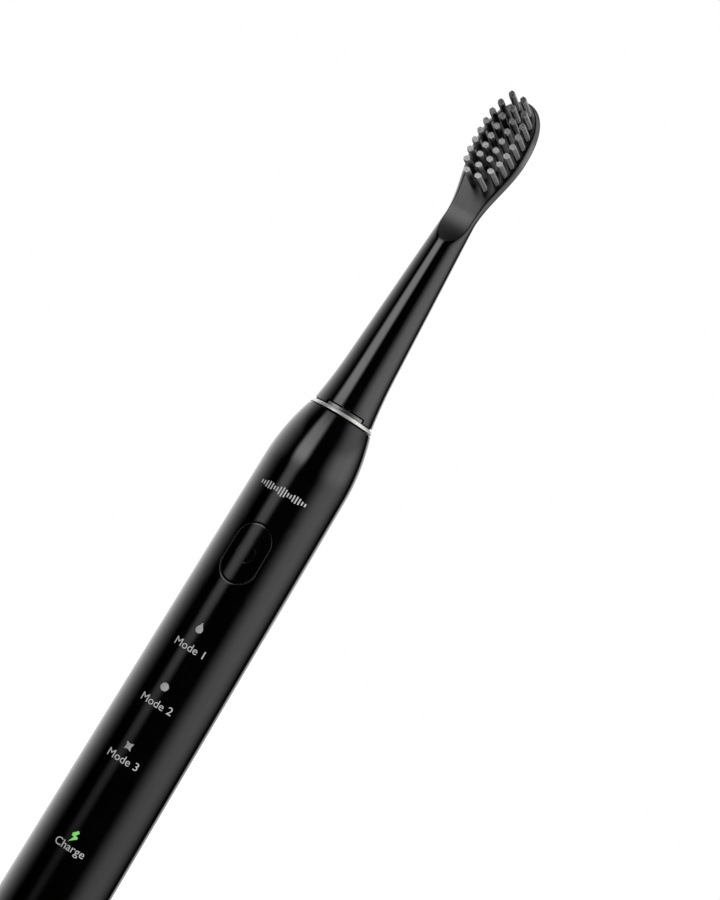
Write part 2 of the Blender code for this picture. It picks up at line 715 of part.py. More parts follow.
def make_finishes():
    return {
        "black": material("gloss_black", (0.010, 0.010, 0.011), 0.12),
        "ring": material("pearl_metal", (0.78, 0.76, 0.74), 0.28, 1.0),
        "bristle": material("bristle_grey", (0.10, 0.10, 0.10), 0.45),
        "rubber": material("grey_rubber", (0.05, 0.05, 0.05), 0.7),
        "steel": material("steel", (0.55, 0.56, 0.58), 0.3, 1.0),
        "magnet": material("magnet", (0.25, 0.25, 0.27), 0.35, 1.0),
        "copper": material("copper", (0.72, 0.36, 0.18), 0.35, 1.0),
        "bronze": material("bronze", (0.55, 0.38, 0.18), 0.4, 1.0),
        "nickel": material("nickel", (0.62, 0.60, 0.55), 0.3, 1.0),
        "frame": material("frame_plastic", (0.55, 0.55, 0.53), 0.5),
        "board": material("board_green", (0.02, 0.16, 0.06), 0.4),
        "wrap": material("battery_wrap", (0.03, 0.12, 0.30), 0.35),
        "clear": material("light_guide", (0.80, 0.82, 0.80), 0.15),
    }


def place_joints():
    tufts = [thing for thing in PARTS.objects if thing.name.startswith("tuft_")]
    head = [PARTS.objects["head_shell"], PARTS.objects["head_clip"]] + tufts
    pull = joint_empty("head_pull_joint", (0, 0, RING_HEIGHT + SKIRT_START), head)
    turn = [PARTS.objects["drive_shaft"], PARTS.objects["rotor_magnet"], pull]
    joint_empty("shaft_turn_joint", (0, 0, MOTOR_BOTTOM), turn)
    face = (0, -handle_radius(BUTTON_HEIGHT), BUTTON_HEIGHT)
    joint_empty("button_press_joint", face, [PARTS.objects["button_cap"]])


def build():
    finishes = make_finishes()
    make_shell(finishes["black"])
    make_base_cap(finishes["black"])
    make_base_seal(finishes["rubber"])
    make_bobbin(finishes["frame"])
    make_charging_coil(finishes["copper"])
    make_chassis(finishes["frame"])
    make_battery(finishes)
    make_board(finishes)
    make_button(finishes["black"])
    make_trim_ring(finishes["ring"])
    make_motor(finishes)
    make_shaft_seal(finishes["rubber"])
    make_shaft(finishes["steel"])
    make_head(finishes)
    place_joints()


build()
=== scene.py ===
"""Looks of the electric toothbrush: fine shells, filament tufts, printed marks, studio, camera."""

import json
import random
from math import cos, hypot, pi, radians, sin, sqrt

import bmesh
import bpy
from mathutils import Matrix, Vector


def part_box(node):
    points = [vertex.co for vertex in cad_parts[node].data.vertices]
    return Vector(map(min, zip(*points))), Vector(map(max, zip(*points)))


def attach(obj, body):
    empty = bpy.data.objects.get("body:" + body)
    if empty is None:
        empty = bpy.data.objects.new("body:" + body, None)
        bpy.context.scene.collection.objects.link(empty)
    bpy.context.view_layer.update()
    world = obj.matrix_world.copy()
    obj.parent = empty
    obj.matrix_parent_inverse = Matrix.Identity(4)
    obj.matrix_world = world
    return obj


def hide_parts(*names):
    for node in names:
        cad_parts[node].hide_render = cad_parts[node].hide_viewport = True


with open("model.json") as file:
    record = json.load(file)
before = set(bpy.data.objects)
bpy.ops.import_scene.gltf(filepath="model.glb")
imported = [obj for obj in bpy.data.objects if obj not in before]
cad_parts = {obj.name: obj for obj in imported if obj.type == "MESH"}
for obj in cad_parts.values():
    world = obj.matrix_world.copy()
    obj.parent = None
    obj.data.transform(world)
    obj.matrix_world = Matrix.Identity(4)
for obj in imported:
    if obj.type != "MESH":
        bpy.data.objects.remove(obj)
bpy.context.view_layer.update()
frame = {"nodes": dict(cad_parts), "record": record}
MM = 0.001

# ---------------------------------------------------------------- sizes, in millimetres


def span(node, axis):
    """Lowest and highest value of a CAD node along one axis."""
    low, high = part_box(node)
    return low[axis] / MM, high[axis] / MM


X, Z = 0, 2
GAP = 0.3                       # the CAD's clearance

# The trim ring is the reference: the head is measured up from its middle.
SEAT_BOTTOM = span("trim_ring", Z)[0]
SEAT_RADIUS = span("trim_ring", X)[1]
RING_THICK = 0.9
RING_WIDTH = 1.5
RING_MIDDLE = SEAT_BOTTOM + RING_THICK / 2
RING_TOP = SEAT_BOTTOM + RING_THICK
LUG_TOP = span("trim_ring", Z)[1]
LUG_ANGLE = 36.4
LUG_TURN = 15.0
SWING = 3.6                     # clearance each side of the lug, in degrees
LUG_INSET = 0.15                # behind the skirt's outside
LUG_FOOT = 0.3                  # how deep the lug starts in the ring
RING_EDGE = 0.16
RING_SLOPE = 12.0               # the band's face leans back by this many degrees

# Handle: a straight taper and an arched shoulder
SHOULDER_LENGTH = 17.5
SHOULDER_RADIUS = 53.0
SHOULDER_START = RING_MIDDLE - SHOULDER_LENGTH
SHELL_BOTTOM, SHELL_TOP = span("handle_shell", Z)
CAP_TOP = SHELL_BOTTOM - GAP
CAP_EDGE = 1.5
CAP_WALL = 1.5
CAP_LIP = 0.15                  # softening of the seam between cap and shell
CAP_RADIUS = span("base_cap", X)[1]
WELL_RADIUS = 3.6
WELL_DEPTH = 12.0
WELL_LIP = 0.4
WELL_EDGE = 0.6                 # bevel of the well's inner end
WELL_WALL = 1.0
MOUTH_RADIUS = span("shaft_seal", X)[1] + GAP
MOUTH_DEPTH = 3.0

# Button
BUTTON_LOW, BUTTON_HIGH = span("button_cap", Z)
BUTTON_HALF = span("button_cap", X)[1]
BUTTON_MIDDLE = (BUTTON_LOW + BUTTON_HIGH) / 2
BUTTON_RUN = (BUTTON_HIGH - BUTTON_LOW) / 2 - BUTTON_HALF
BUTTON_GAP = 0.12
BUTTON_THICK = 1.5
EDGE = 0.12                     # rounding of the button's and the hole's edges

# Brush head
HEAD_BOTTOM, HEAD_TOP = span("head_shell", Z)
SKIRT_START = HEAD_BOTTOM - RING_MIDDLE
HEAD_LENGTH = HEAD_TOP - RING_MIDDLE
SKIRT_RADIUS = span("head_shell", X)[1]
NECK_RADIUS = 6.42
FLARE_LENGTH = 14.0
NECK_TAPER = 0.0605
NECK_END = 55.0
PLATE_WIDEST = 74.2
PLATE_HALF_WIDTH = 6.92
TIP_WIDTH_POWER = 2.5
TIP_DEPTH_POWER = 6.0
FLATTEN_START = 47.0            # the front grows flatter from here up
FLATTEN_END = 58.5
FACE_DEPTH = 1.3
PLATE_BACK = 2.8
PLATE_FRONT = 3.14              # with the front's bevelled section, not the CAD's ellipse
BEVEL_START = 52.0              # the bevelled section grows from here up
BEVEL_END = 62.0
BEVEL = 0.33                    # how much sharper than an ellipse the plate's edge is
CREASE = 0.2                    # softness of the line between face and side
SCOOP_RADIUS = 15.84
SCOOP_TOP = 57.5
SOCKET_RADIUS = 3.6
SOCKET_DEPTH = 25.0
SKIRT_BORE = 5.6
SKIRT_DEPTH = 5.0
FINE_START = 46.0               # closer cross sections from here up, round the scoop
LIP_INSET = 0.5                 # the hidden lip under the skirt
LIP_CLEARANCE = 0.08

# Tufts
TUFTS = sorted(name for name in frame["nodes"] if name.startswith("tuft_"))
TUFT_RADIUS = 0.8
FILAMENT_RADIUS = 0.088
FILAMENT_SIDES = 7
FILAMENT_TIP = 0.86             # the cut end's width, as a share of the filament's
FILAMENT_ROOT = 1.0             # how deep the bristles start behind the face
TRIM_MIDDLE = 74.42             # where the bristles are shortest
TRIM_SPAN = 10.4
TUFT_SHORT = 9.15
TUFT_LONG = 12.25

# Marks on the front, measured down from the ring's middle
MARK_BELOW = 22.9
DROP_BELOW = 59.9
DOT_BELOW = 75.7
STAR_BELOW = 91.6
BOLT_BELOW = 115.8
LABEL_SHIFT = 0.35
LABEL_SIZE = 2.75
LABEL_DROPS = (5.1, 4.35, 3.4, 2.75)   # each label's middle below its mark's
PRINT_LIFT = 0.03
PRINT_STEP = 0.55               # longest edge of a printed film, so that it follows the handle
SIGN_OUTER = 2.4
SIGN_LINE = 0.3
SIGN_OPENING = 32               # degrees each side of its top

# Studio light, in degrees round from the camera (right is positive) and above the horizon
WRAP_FAR = -135                 # a broad panel at the left, brightest at its far side
WRAP_NEAR = -71
WRAP_LIGHT = 2.0
BACK_START = 141                # the white room behind
BACK_FULL = 150
PANEL_START = 25                # a broad panel at the right
PANEL_FULL = 68
PANEL_FALL = 80
PANEL_END = 134
STRIP_AT = -36.5                # a narrow strip at the left of the camera
STRIP_SOFT = (-7, 8)
SHADE = 0.7                     # how much less of this light the matt pieces get

# Lamp for the matt pieces, in metres from the head's tip
LAMP_PLACE = (1.22, -0.50, 0.76)
LAMP_SIZE = 0.7
LAMP_POWER = 97.0

# Camera
CAMERA_TURN = 13.2              # towards +X from the front
CAMERA_TILT = -3.4
CAMERA_ROLL = 30.98
CAMERA_DISTANCE = 665.0
CAMERA_LENS = 112.1
AIM_DOWN = 4.53                 # the picture's centre below the ring's middle
AIM_RIGHT = 7.87


def shoulder_drop(z):
    """How far the shoulder's arc has come in at a height."""
    rise = max(0.0, z - SHOULDER_START)
    return SHOULDER_RADIUS - sqrt(SHOULDER_RADIUS ** 2 - rise ** 2)


NARROW_RADIUS = SEAT_RADIUS + shoulder_drop(SEAT_BOTTOM)
HANDLE_TAPER = (CAP_RADIUS - NARROW_RADIUS) / (SHOULDER_START - CAP_EDGE)


def handle_radius(z):
    """Outer radius of the handle at a height: the CAD's taper and shoulder."""
    straight = NARROW_RADIUS + HANDLE_TAPER * (SHOULDER_START - min(z, SHOULDER_START))
    return straight - shoulder_drop(z)


def steps(low, high, count):
    return [low + (high - low) * i / count for i in range(count + 1)]


def smooth_step(low, high, value):
    share = min(1.0, max(0.0, (value - low) / (high - low)))
    return share * share * (3 - 2 * share)


# ---------------------------------------------------------------- mesh helpers

def mesh_object(name, points, faces, finish, sharp=35):
    """An object from points in millimetres, smooth but for edges over the sharp angle."""
    mesh = bpy.data.meshes.new(name)
    mesh.from_pydata([Vector(p) * MM for p in points], [], faces)
    mesh.materials.append(finish)
    thing = bpy.data.objects.new(name, mesh)
    bpy.context.scene.collection.objects.link(thing)
    tidy(thing, sharp)
    return thing


def tidy(thing, sharp=35, weld=0.0000005):
    """Weld, turn the faces outwards, and smooth all but the edges over the sharp angle."""
    shape = bmesh.new()
    shape.from_mesh(thing.data)
    bmesh.ops.remove_doubles(shape, verts=shape.verts, dist=weld)
    bmesh.ops.recalc_face_normals(shape, faces=shape.faces)
    shape.to_mesh(thing.data)
    shape.free()
    thing.data.shade_smooth()
    thing.data.set_sharp_from_angle(angle=radians(sharp))


def revolve(name, profile, finish, count=128, start=0.0, end=360.0, sharp=35):
    """A (radius, height) profile turned about +Z. Part of a turn gets end caps."""
    whole = abs(end - start) >= 360
    columns = count if whole else count + 1
    points, faces = [], []
    for i in range(columns):
        turn = radians(start + (end - start) * i / count)
        points += [(r * cos(turn), r * sin(turn), z) for r, z in profile]
    size = len(profile)
    for i in range(count):
        a, b = i * size, (i + 1) % columns * size
        for j in range(size if not whole or profile[0][0] > 0 else size - 1):
            k = (j + 1) % size
            faces.append((a + j, b + j, b + k, a + k))
    if not whole:
        faces.append(tuple(range(size)))
        faces.append(tuple(reversed(range(count * size, (count + 1) * size))))
    return mesh_object(name, points, faces, finish, sharp)


def applied(thing):
    """The object with its modifiers made real."""
    bpy.context.view_layer.update()
    graph = bpy.context.evaluated_depsgraph_get()
    mesh = bpy.data.meshes.new_from_object(thing.evaluated_get(graph))
    thing.modifiers.clear()
    thing.data = mesh
    return thing


def cut(thing, tool):
    step = thing.modifiers.new("cut", "BOOLEAN")
    step.operation = "DIFFERENCE"
    step.object = tool
    applied(thing)
    bpy.data.objects.remove(tool, do_unlink=True)
    return thing


def round_corner(centre, radius, start, end, count=4):
    turns = [radians(start + (end - start) * i / count) for i in range(count + 1)]
    return [(centre[0] + radius * cos(t), centre[1] + radius * sin(t)) for t in turns]


# ---------------------------------------------------------------- materials

def new_material(name):
    made = bpy.data.materials.new(name)
    made.use_nodes = True
    tree = made.node_tree
    return made, tree, tree.nodes["Principled BSDF"]


def link(tree, out, into):
    tree.links.new(out, into)


def noise(tree, scale, detail=3.0, stretch=(1, 1, 1)):
    """Noise over the object's own coordinates. Scale is in features for each metre."""
    coords = tree.nodes.new("ShaderNodeTexCoord")
    mapping = tree.nodes.new("ShaderNodeMapping")
    mapping.inputs["Scale"].default_value = stretch
    texture = tree.nodes.new("ShaderNodeTexNoise")
    texture.inputs["Scale"].default_value = scale
    texture.inputs["Detail"].default_value = detail
    link(tree, coords.outputs["Object"], mapping.inputs["Vector"])
    link(tree, mapping.outputs["Vector"], texture.inputs["Vector"])
    return texture.outputs["Fac"]


def spread(tree, value, low, high, start=0.3, end=0.7):
    """A value mapped from start..end to low..high."""
    node = tree.nodes.new("ShaderNodeMapRange")
    node.inputs["From Min"].default_value = start
    node.inputs["From Max"].default_value = end
    node.inputs["To Min"].default_value = low
    node.inputs["To Max"].default_value = high
    link(tree, value, node.inputs["Value"])
    return node.outputs["Result"]


def shades(tree, value, dark, light):
    node = tree.nodes.new("ShaderNodeValToRGB")
    node.color_ramp.elements[0].position = 0.3
    node.color_ramp.elements[1].position = 0.7
    node.color_ramp.elements[0].color = (*dark, 1)
    node.color_ramp.elements[1].color = (*light, 1)
    link(tree, value, node.inputs["Fac"])
    return node.outputs["Color"]


def bump(tree, shader, value, strength, distance):
    node = tree.nodes.new("ShaderNodeBump")
    node.inputs["Strength"].default_value = strength
    node.inputs["Distance"].default_value = distance * MM
    link(tree, value, node.inputs["Height"])
    link(tree, node.outputs["Normal"], shader.inputs["Normal"])


def plastic(name, dark, light, rough, grain=900, waviness=0.02, depth=0.02, metallic=0.0):
    """Moulded or plated stock: uneven tone, handling marks in the gloss, a fine wavy skin."""
    made, tree, shader = new_material(name)
    link(tree, shades(tree, noise(tree, 160), dark, light), shader.inputs["Base Color"])
    marks = noise(tree, 340, 6.0, (1, 1, 0.25))
    link(tree, spread(tree, marks, *rough), shader.inputs["Roughness"])
    shader.inputs["Metallic"].default_value = metallic
    bump(tree, shader, noise(tree, grain, 2.0), waviness, depth)
    return made, tree, shader


def brushed(name, dark, light, rough, stretch):
    made, tree, shader = new_material(name)
    streaks = noise(tree, 2500, 2.0, stretch)
    link(tree, shades(tree, streaks, dark, light), shader.inputs["Base Color"])
    link(tree, spread(tree, streaks, *rough), shader.inputs["Roughness"])
    shader.inputs["Metallic"].default_value = 1.0
    bump(tree, shader, streaks, 0.15, 0.01)
    return made


def head_material(dark, light):
    """Gloss black that shines more on the plate's sides than on the neck."""
    made, tree, shader = plastic("head_black", dark, light, (0.07, 0.13), grain=420,
                                 waviness=0.012)
    coords = tree.nodes.new("ShaderNodeTexCoord")
    split = tree.nodes.new("ShaderNodeSeparateXYZ")
    link(tree, coords.outputs["Object"], split.inputs["Vector"])
    low, high = (RING_MIDDLE + BEVEL_START) * MM, (RING_MIDDLE + BEVEL_END) * MM
    link(tree, spread(tree, split.outputs["Z"], 0.5, 1.0, low, high),
         shader.inputs["Specular IOR Level"])
    return made


def satin_material(dark, light):
    """The duller black of the face between the tufts and of the scoop."""
    made, tree, shader = plastic("satin_black", dark, light, (0.26, 0.32), grain=2600,
                                 waviness=0.03)
    shader.inputs["Specular IOR Level"].default_value = 0.7
    return made


def bristle_material():
    """Nylon: each filament has its own tone, and the cut ends are painted much paler than the sides:
    painted light on the ends, painted shade on the sides.
    """
    made, tree, shader = new_material("bristle_nylon")
    tone = tree.nodes.new("ShaderNodeAttribute")
    tone.attribute_name = "tone"
    # Painted shade: the sides are far darker than the cut ends, though the nylon is one colour.
    side = shades(tree, tone.outputs["Fac"], (0.055, 0.055, 0.056), (0.085, 0.085, 0.087))
    end = tree.nodes.new("ShaderNodeAttribute")
    end.attribute_name = "cut_end"
    mix = tree.nodes.new("ShaderNodeMix")
    mix.data_type = "RGBA"
    link(tree, end.outputs["Fac"], mix.inputs[0])
    link(tree, side, mix.inputs[6])
    # Painted light: the cut ends' pale grey.
    mix.inputs[7].default_value = (0.29, 0.29, 0.29, 1)
    link(tree, mix.outputs[2], shader.inputs["Base Color"])
    link(tree, spread(tree, noise(tree, 1500), 0.34, 0.5), shader.inputs["Roughness"])
    return made


def painted_glow_material(name, colour, glow):
    """A print that glows a little, painted light, so that it reads evenly however the light falls.
    """
    made, tree, shader = plastic(name, tuple(0.8 * c for c in colour), colour, (0.3, 0.45))
    # The emission is painted light: the print glows though it is no lamp.
    shader.inputs["Emission Color"].default_value = (*colour, 1)
    shader.inputs["Emission Strength"].default_value = glow
    return made


def make_materials():
    dark, light = (0.0002, 0.0002, 0.0002), (0.0004, 0.0004, 0.0004)
    return {
        "black": plastic("gloss_black", dark, light, (0.07, 0.13), grain=420, waviness=0.012)[0],
        "head": head_material(dark, light),
        "satin": satin_material(dark, light),
        "ring": plastic("pearl_plating", (0.45, 0.445, 0.44), (0.52, 0.515, 0.51), (0.33, 0.4),
                        grain=5200, waviness=0.10, depth=0.01, metallic=0.85)[0],
        # The lug's darker copy of the plating is painted shade, as if the skirt over it shadows it.
        "lug": plastic("pearl_painted_shade", (0.14, 0.14, 0.14), (0.18, 0.18, 0.18), (0.33, 0.4),
                       grain=5200, waviness=0.10, depth=0.01, metallic=1.0)[0],
        "bristle": bristle_material(),
        "rubber": plastic("seal_rubber", (0.02, 0.02, 0.02), (0.04, 0.04, 0.04), (0.6, 0.8),
                          grain=4000, waviness=0.3, depth=0.02)[0],
        "steel": brushed("ground_steel", (0.40, 0.41, 0.43), (0.62, 0.63, 0.65), (0.22, 0.38),
                         (0.05, 0.05, 1)),
        "print": plastic("print_grey", (0.20, 0.20, 0.205), (0.25, 0.25, 0.255), (0.4, 0.55))[0],
        # Painted light: the labels and the green bolt glow, so the print reads evenly under the lamp
        # from the right.
        "label": painted_glow_material("print_label_painted_glow", (0.09, 0.09, 0.091), 3.4),
        "green": painted_glow_material("lit_green", (0.10, 0.30, 0.07), 0.9),
        "sign": plastic("pressed_sign", (0.0006, 0.0006, 0.0006), (0.001, 0.001, 0.001),
                        (0.2, 0.26))[0],
    }


# ---------------------------------------------------------------- handle and button

def stadium_hit(dx, dz, half, run):
    """Where a ray from the button's middle meets its stadium outline of a given half width."""
    if abs(dx) > 1e-9:
        reach = half / abs(dx)
        if abs(dz) * reach <= run:
            return dx * reach, dz * reach
    length = hypot(dx, dz)
    dx, dz = dx / length, dz / length
    side = run if dz > 0 else -run
    along = dz * side
    reach = along + sqrt(along * along - run * run + half * half)
    return dx * reach, dz * reach


def on_handle(x, z, lift=0.0):
    """A point on the handle's front, or a little above or below its surface."""
    radius = handle_radius(z) + lift
    return x, -sqrt(radius * radius - x * x), z


def make_handle(finish):
    """The turned shell, with a patch in its front that rolls down into the button's hole."""
    columns = 160
    window = 16                                   # columns replaced each side of the front
    margin = 1.5                                  # of the patch above and below the button
    rows = steps(SHELL_BOTTOM + CAP_LIP, SHOULDER_START, 60)
    rows += steps(SHOULDER_START, SHELL_TOP - CAP_LIP, 24)[1:]
    outer = [(handle_radius(SHELL_BOTTOM) - CAP_LIP, SHELL_BOTTOM)]
    outer += [(handle_radius(z), z) for z in rows]
    outer += [(handle_radius(SHELL_TOP) - CAP_LIP, SHELL_TOP), (MOUTH_RADIUS, SHELL_TOP),
              (MOUTH_RADIUS, SHELL_TOP - MOUTH_DEPTH)]
    low = max(j for j, (r, z) in enumerate(outer) if z < BUTTON_LOW - margin)
    high = min(j for j, (r, z) in enumerate(outer) if z > BUTTON_HIGH + margin)
    points, faces = [], []
    for i in range(columns):
        turn = 2 * pi * i / columns - pi / 2
        points += [(r * cos(turn), r * sin(turn), z) for r, z in outer]
    size = len(outer)

    def at(i, j):
        return (i % columns) * size + j

    for i in range(-columns // 2, columns // 2):
        for j in range(size - 1):
            if -window <= i < window and low <= j < high:
                continue
            faces.append((at(i, j), at(i + 1, j), at(i + 1, j + 1), at(i, j + 1)))
    border = [at(i, low) for i in range(-window, window)]
    border += [at(window, j) for j in range(low, high)]
    border += [at(i, high) for i in range(window, -window, -1)]
    border += [at(-window, j) for j in range(high, low, -1)]
    add_rim(points, faces, border)
    shell = mesh_object("handle_skin", points, faces, finish)
    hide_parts("handle_shell")
    return shell


def add_rim(points, faces, border):
    """Rings from the patch's border in to the hole's edge, then round it and down its wall."""
    half = BUTTON_HALF + BUTTON_GAP
    last = border
    rings = [("blend", s) for s in (0.75, 0.5, 0.28, 0.12)]
    rings += [("edge", a) for a in (0, 22, 45, 67, 90)] + [("wall", 0.8), ("wall", 1.6)]
    for kind, value in rings:
        ring = []
        for index in border:
            x, _, z = points[index]
            dx, dz = x, z - BUTTON_MIDDLE
            hit = stadium_hit(dx, dz, half + EDGE, BUTTON_RUN)
            if kind == "blend":
                place = [hit[k] + ((dx, dz)[k] - hit[k]) * value for k in (0, 1)]
                lift = 0.0
            else:
                inset = EDGE * sin(radians(value)) if kind == "edge" else EDGE
                place = stadium_hit(dx, dz, half + EDGE - inset, BUTTON_RUN)
                lift = EDGE * (cos(radians(value)) - 1) if kind == "edge" else -EDGE - value
            points.append(on_handle(place[0], BUTTON_MIDDLE + place[1], lift))
            ring.append(len(points) - 1)
        count = len(border)
        for i in range(count):
            k = (i + 1) % count
            faces.append((last[i], last[k], ring[k], ring[i]))
        last = ring


def make_button(finish):
    """The button's crowned cap, built in rings from its wall in to its middle line."""
    count = 96
    rings = [(0.0, -BUTTON_THICK), (0.0, -EDGE)]
    rings += [(EDGE * (1 - cos(radians(a))), EDGE * (sin(radians(a)) - 1))
              for a in (22, 45, 67, 90)]
    rings += [(inset, 0.0) for inset in (0.5, 0.9, 1.4, 2.0, 2.6, 3.2, 3.8, 4.2)]
    points, faces = [], []
    for inset, lift in rings:
        for i in range(count):
            turn = 2 * pi * i / count
            hit = stadium_hit(cos(turn), 1.7 * sin(turn), BUTTON_HALF - inset, BUTTON_RUN)
            points.append(on_handle(hit[0], BUTTON_MIDDLE + hit[1], lift))
    for ring in range(len(rings) - 1):
        for i in range(count):
            k = (i + 1) % count
            a, b = ring * count, (ring + 1) * count
            faces.append((a + i, a + k, b + k, b + i))
    close_strip(points, faces, (len(rings) - 1) * count, count)
    cap = mesh_object("button_face", points, faces, finish)
    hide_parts("button_cap")
    return cap


def close_strip(points, faces, first, count):
    """Quads across the last ring, which is long and thin: its left half to its right half."""
    quarter = count // 4
    for i in range(-quarter, quarter):
        left = first + (count // 2 - i) % count
        right = first + i % count
        left_next = first + (count // 2 - i - 1) % count
        right_next = first + (i + 1) % count
        corners = []
        for index in (right, right_next, left_next, left):
            if index not in corners:
                corners.append(index)
        if len(corners) > 2:
            faces.append(tuple(corners))


def make_cap(finish):
    """The base cap: rounded foot, flat ring to stand on, and the charging well."""
    top = handle_radius(CAP_TOP)
    rim = top - CAP_WALL
    profile = [(rim, CAP_TOP), (top - CAP_LIP, CAP_TOP), (top, CAP_TOP - CAP_LIP),
               (handle_radius(3.5), 3.5)]
    profile += round_corner((CAP_RADIUS - CAP_EDGE, CAP_EDGE), CAP_EDGE, 0, -90, 8)
    profile += [(WELL_RADIUS + WELL_LIP, 0)]
    profile += round_corner((WELL_RADIUS + WELL_LIP, WELL_LIP), WELL_LIP, -90, -180, 4)
    roof = WELL_DEPTH + WELL_WALL
    profile += [(WELL_RADIUS, WELL_DEPTH - WELL_EDGE), (WELL_RADIUS - WELL_EDGE, WELL_DEPTH),
                (0.02, WELL_DEPTH), (0.02, roof), (rim, roof)]
    cap = revolve("base_cap_skin", profile, finish, 160)
    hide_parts("base_cap")
    return cap


# ---------------------------------------------------------------- trim ring

def make_ring(finish, painted_shade_finish):
    """The plated ring, with small rounded edges, and the lug that stands on its front, in a darker
    copy of the plating that is painted shade from the skirt over it.
    """
    top, bottom = handle_radius(RING_TOP), handle_radius(SEAT_BOTTOM)
    inner, r = bottom - RING_WIDTH, RING_EDGE
    profile = round_corner((top - r, RING_TOP - r), r, 90, RING_SLOPE, 5)
    profile += round_corner((bottom - r, SEAT_BOTTOM + r), r, RING_SLOPE, -90, 5)
    profile += [(inner, SEAT_BOTTOM), (inner, RING_TOP)]
    band = revolve("trim_ring_band", profile, finish, 160)
    outer, foot = SKIRT_RADIUS - LUG_INSET, RING_TOP - LUG_FOOT
    lug = round_corner((outer - r, LUG_TOP - r), r, 90, 0, 5)
    lug += [(outer, foot), (inner + 0.05, foot), (inner + 0.05, LUG_TOP)]
    middle = LUG_TURN - 90
    # The lug takes the darker plating: painted shade.
    tab = revolve("trim_ring_lug", lug, painted_shade_finish, 40, middle - LUG_ANGLE, middle + LUG_ANGLE)
    for piece in (band, tab):
        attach(piece, "handle")
    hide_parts("trim_ring")
    return band, tab


# ---------------------------------------------------------------- brush head

def neck_radius(h):
    """The round neck's radius at a height over the ring's middle, with the skirt's flare."""
    straight = NECK_RADIUS - NECK_TAPER * (h - FLARE_LENGTH)
    widening = SKIRT_RADIUS - NECK_RADIUS - NECK_TAPER * (FLARE_LENGTH - SKIRT_START)
    flare = max(0.0, (FLARE_LENGTH - h) / (FLARE_LENGTH - SKIRT_START))
    return straight + widening * flare ** 2


def tip_share(h):
    """How far a height lies from the plate's widest place, 0, to the tip, 1."""
    return min(1.0, max(0.0, (h - PLATE_WIDEST) / (HEAD_LENGTH - PLATE_WIDEST)))


def half_width(h):
    if h <= NECK_END:
        return neck_radius(h)
    if h <= PLATE_WIDEST:
        start = neck_radius(NECK_END)
        return start + (PLATE_HALF_WIDTH - start) * smooth_step(NECK_END, PLATE_WIDEST, h)
    return PLATE_HALF_WIDTH * sqrt(1 - tip_share(h) ** TIP_WIDTH_POWER)


def depth(h, plate, begin, end):
    """How far the head reaches in front of or behind its axis."""
    full = neck_radius(min(h, NECK_END))
    blend = smooth_step(begin, end, h)
    return (full + (plate - full) * blend) * sqrt(1 - tip_share(h) ** TIP_DEPTH_POWER)


def face_depth(h):
    """How far forward the flat face, or the scoop below it, lies."""
    drop = min(SCOOP_RADIUS, max(0.0, SCOOP_TOP - h))
    return FACE_DEPTH + SCOOP_RADIUS - sqrt(SCOOP_RADIUS ** 2 - drop ** 2)


def front_curve(h, turn):
    """The front of the section before the face is cut: across, and forward."""
    power = 1 + BEVEL * smooth_step(BEVEL_START, BEVEL_END, h)
    reach = depth(h, PLATE_FRONT, FLATTEN_START, FLATTEN_END)
    side = 1 if cos(turn) > 0 else -1
    return (half_width(h) * side * abs(cos(turn)) ** power, reach * abs(sin(turn)) ** power)


def head_section(h, count):
    """One cross section: a half ellipse behind, and the front cut softly by the face."""
    points = []
    for i in range(count):
        turn = 2 * pi * i / count
        if sin(turn) >= 0:
            reach = depth(h, PLATE_BACK, SCOOP_TOP - SCOOP_RADIUS, PLATE_WIDEST - 6)
            points.append((half_width(h) * cos(turn), reach * sin(turn), RING_MIDDLE + h))
            continue
        x, forward = front_curve(h, turn)
        flat = face_depth(h)
        forward = (forward + flat - sqrt((forward - flat) ** 2 + CREASE ** 2)) / 2
        points.append((x, -forward, RING_MIDDLE + h))
    return points


def loft_head(finish, satin):
    """The neck and plate in cross sections. The cut face and the scoop are duller."""
    count = 240
    heights = steps(SKIRT_START, FLARE_LENGTH, 14) + steps(FLARE_LENGTH, FINE_START, 40)[1:]
    heights += steps(FINE_START, PLATE_WIDEST, 120)[1:]
    reach = HEAD_LENGTH - PLATE_WIDEST
    heights += [PLATE_WIDEST + reach * sin(radians(90 * i / 50)) for i in range(1, 50)]
    points, faces, dull = [], [], []
    for h in heights:
        points += head_section(h, count)
    for row in range(len(heights) - 1):
        h = (heights[row] + heights[row + 1]) / 2
        for i in range(count):
            a, k = row * count, (i + 1) % count
            faces.append((a + i, a + k, a + count + k, a + count + i))
            turn = 2 * pi * (i + 0.5) / count
            dull.append(sin(turn) < 0 and front_curve(h, turn)[1] > face_depth(h))
    faces.append(tuple(reversed(range(count))))
    points.append((0, 0, RING_MIDDLE + HEAD_LENGTH))
    last, tip = (len(heights) - 1) * count, len(points) - 1
    faces += [(last + i, last + (i + 1) % count, tip) for i in range(count)]
    head = mesh_object("brush_head_body", points, faces, finish)
    head.data.materials.append(satin)
    for face, is_dull in zip(head.data.polygons, dull):
        face.material_index = 1 if is_dull else 0
    return head


